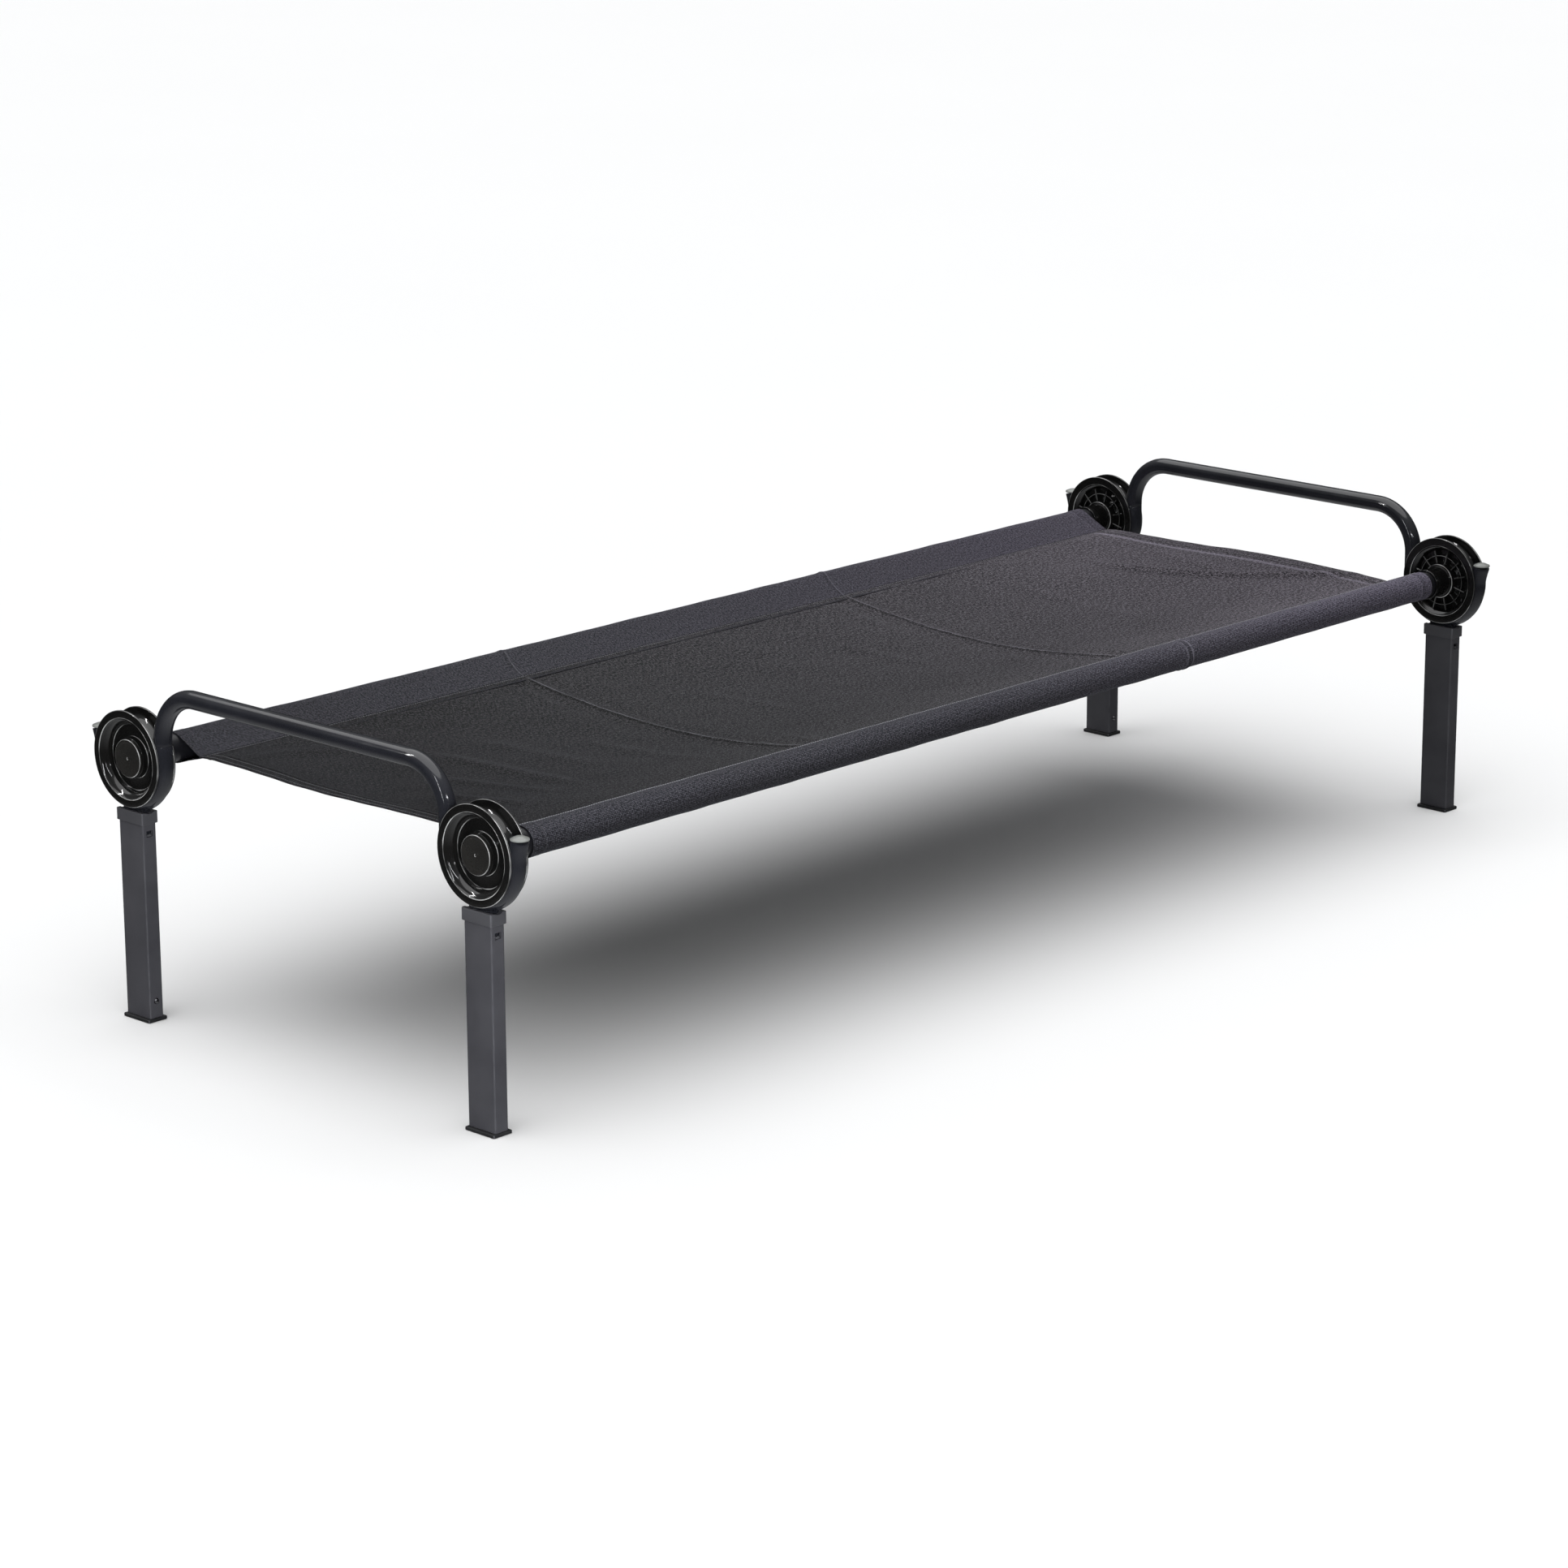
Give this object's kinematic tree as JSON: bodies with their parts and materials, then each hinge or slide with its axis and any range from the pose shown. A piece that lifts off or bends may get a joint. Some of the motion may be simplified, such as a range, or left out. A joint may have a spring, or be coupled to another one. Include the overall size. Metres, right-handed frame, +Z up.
{
  "type": "raised dog bed with frame",
  "caption": "Raised bed: a black fabric sling on two side rails whose end discs rest in cradles on tubular end hoops with rectangular legs.",
  "frame": {"origin": "floor level, under the middle of the bed", "axes": "+X along the bed, +Y across it from the front rail to the back rail, +Z up"},
  "size_m": [2.0724, 0.8282, 0.4808],
  "materials": {
    "coated_steel": "satin black powder coat",
    "leg_coating": "satin dark grey-black coat",
    "rail_coating": "satin black coat",
    "disc_plastic": "polished black moulding",
    "hub_plastic": "polished black moulding",
    "collar_plastic": "matte black moulding",
    "cap_plastic": "satin pewter grey moulding",
    "foot_plastic": "matte black moulding",
    "plated_steel": "zinc plated",
    "deck_fabric": "black woven polyester, matte"
  },
  "bodies": {
    "deck": {"deck_panel": "deck_fabric", "front_sleeve": "deck_fabric", "back_sleeve": "deck_fabric"},
    "front_rail": {"front_rail_left": "rail_coating", "front_rail_middle": "rail_coating", "front_rail_right": "rail_coating", "left_front_disc": "disc_plastic", "left_front_hub_cap": "hub_plastic", "right_front_disc": "disc_plastic", "right_front_hub_cap": "hub_plastic"},
    "back_rail": {"back_rail_left": "rail_coating", "back_rail_middle": "rail_coating", "back_rail_right": "rail_coating", "left_back_disc": "disc_plastic", "left_back_hub_cap": "hub_plastic", "right_back_disc": "disc_plastic", "right_back_hub_cap": "hub_plastic"},
    "left_frame": {"left_hoop": "coated_steel", "left_front_cradle": "coated_steel", "left_front_cradle_cap": "cap_plastic", "left_front_stub": "coated_steel", "left_back_cradle": "coated_steel", "left_back_cradle_cap": "cap_plastic", "left_back_stub": "coated_steel"},
    "right_frame": {"right_hoop": "coated_steel", "right_front_cradle": "coated_steel", "right_front_cradle_cap": "cap_plastic", "right_front_stub": "coated_steel", "right_back_cradle": "coated_steel", "right_back_cradle_cap": "cap_plastic", "right_back_stub": "coated_steel"},
    "left_front_leg_unit": {"left_front_leg": "leg_coating", "left_front_leg_collar": "collar_plastic", "left_front_foot": "foot_plastic", "left_front_foot_spring": "plated_steel"},
    "left_front_button": {"left_front_foot_button": "plated_steel"},
    "left_back_leg_unit": {"left_back_leg": "leg_coating", "left_back_leg_collar": "collar_plastic", "left_back_foot": "foot_plastic", "left_back_foot_spring": "plated_steel"},
    "left_back_button": {"left_back_foot_button": "plated_steel"},
    "right_front_leg_unit": {"right_front_leg": "leg_coating", "right_front_leg_collar": "collar_plastic", "right_front_foot": "foot_plastic", "right_front_foot_spring": "plated_steel"},
    "right_front_button": {"right_front_foot_button": "plated_steel"},
    "right_back_leg_unit": {"right_back_leg": "leg_coating", "right_back_leg_collar": "collar_plastic", "right_back_foot": "foot_plastic", "right_back_foot_spring": "plated_steel"},
    "right_back_button": {"right_back_foot_button": "plated_steel"}
  },
  "joints": [
    {"name": "front_rail_spin", "type": "hinge", "parent": "deck", "child": "front_rail", "pos_m": [0, -0.3404, 0.3676], "axis": [1, 0, 0], "continuous": true},
    {"name": "back_rail_spin", "type": "hinge", "parent": "deck", "child": "back_rail", "pos_m": [0, 0.3404, 0.3676], "axis": [1, 0, 0], "continuous": true},
    {"name": "left_frame_lift_off", "type": "slide", "parent": "deck", "child": "left_frame", "axis": [0, 0, -1], "range_m": [0, 0.115]},
    {"name": "right_frame_lift_off", "type": "slide", "parent": "deck", "child": "right_frame", "axis": [0, 0, -1], "range_m": [0, 0.115]},
    {"name": "left_front_leg_pull_off", "type": "slide", "parent": "left_frame", "child": "left_front_leg_unit", "axis": [0, 0, -1], "range_m": [0, 0.095]},
    {"name": "left_front_button_press", "type": "slide", "parent": "left_front_leg_unit", "child": "left_front_button", "axis": [0, -1, 0], "range_m": [0, 0.0035], "stiffness_N_per_m": 300, "springref_m": -0.002},
    {"name": "left_back_leg_pull_off", "type": "slide", "parent": "left_frame", "child": "left_back_leg_unit", "axis": [0, 0, -1], "range_m": [0, 0.095]},
    {"name": "left_back_button_press", "type": "slide", "parent": "left_back_leg_unit", "child": "left_back_button", "axis": [0, 1, 0], "range_m": [0, 0.0035], "stiffness_N_per_m": 300, "springref_m": -0.002},
    {"name": "right_front_leg_pull_off", "type": "slide", "parent": "right_frame", "child": "right_front_leg_unit", "axis": [0, 0, -1], "range_m": [0, 0.095]},
    {"name": "right_front_button_press", "type": "slide", "parent": "right_front_leg_unit", "child": "right_front_button", "axis": [0, -1, 0], "range_m": [0, 0.0035], "stiffness_N_per_m": 300, "springref_m": -0.002},
    {"name": "right_back_leg_pull_off", "type": "slide", "parent": "right_frame", "child": "right_back_leg_unit", "axis": [0, 0, -1], "range_m": [0, 0.095]},
    {"name": "right_back_button_press", "type": "slide", "parent": "right_back_leg_unit", "child": "right_back_button", "axis": [0, 1, 0], "range_m": [0, 0.0035], "stiffness_N_per_m": 300, "springref_m": -0.002}
  ]
}
